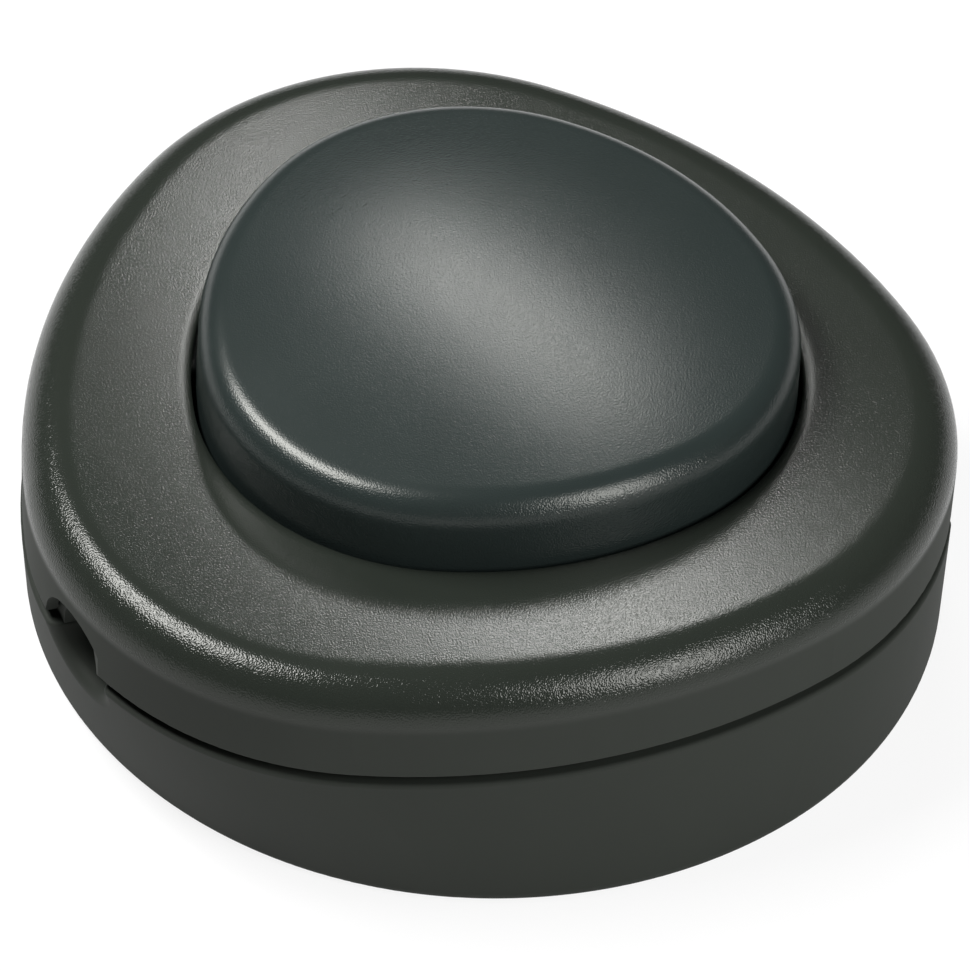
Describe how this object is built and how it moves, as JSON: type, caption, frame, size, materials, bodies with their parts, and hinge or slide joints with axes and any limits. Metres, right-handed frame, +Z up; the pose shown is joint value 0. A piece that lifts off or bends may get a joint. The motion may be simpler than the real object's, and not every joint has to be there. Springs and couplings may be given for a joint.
{
  "type": "foot switch",
  "caption": "Black in-line lamp foot switch with a rounded-triangle two-part housing, a large domed push button and a push-push drive inside",
  "frame": {"origin": "on the floor, below the axis of the push button", "axes": "+Z up along the button's stroke, the cord runs along X, +Y points at the back corner of the rounded triangle"},
  "size_m": [0.0699, 0.0682, 0.0286],
  "materials": {
    "housing_plastic": "black moulded plastic, fine spark-eroded grain",
    "button_plastic": "black moulded plastic, smooth satin",
    "white_plastic": "natural white nylon",
    "rotor_plastic": "red-brown moulded thermoset",
    "spring_steel": "drawn spring wire and strip",
    "zinc_steel": "zinc-plated steel",
    "brass": "plain brass",
    "contact_silver": "silver contact alloy"
  },
  "bodies": {
    "housing": {"base_shell": "housing_plastic", "top_cover": "housing_plastic", "return_spring": "spring_steel", "mechanism_frame": "white_plastic", "frame_screws": "zinc_steel", "live_in_contact": "brass", "live_out_contact": "brass", "fixed_contacts": "contact_silver", "live_in_terminal": "brass", "live_out_terminal": "brass", "neutral_terminal": "brass", "terminal_screws": "zinc_steel", "cord_clamp_left": "white_plastic", "cord_clamp_right": "white_plastic", "clamp_screws": "zinc_steel", "housing_screws": "zinc_steel", "detent_spring": "spring_steel"},
    "button": {"push_button": "button_plastic", "plunger": "white_plastic"},
    "rotor": {"switch_rotor": "rotor_plastic", "contact_bridge": "brass", "bridge_contacts": "contact_silver"}
  },
  "joints": [
    {"name": "button_press", "type": "slide", "parent": "housing", "child": "button", "axis": [0, 0, 1], "range_m": [-0.004, 0], "stiffness_N_per_m": 1500, "springref_m": 0.003, "deforming": ["return_spring"]},
    {"name": "rotor_turn", "type": "hinge", "parent": "housing", "child": "rotor", "pos_m": [0, 0, 0.0065], "axis": [0, 0, 1], "range_deg": [0, 45]}
  ],
  "couplings": [
    {"joint": "rotor_turn", "follows": "button_press", "rad_per_m": -196.35}
  ]
}
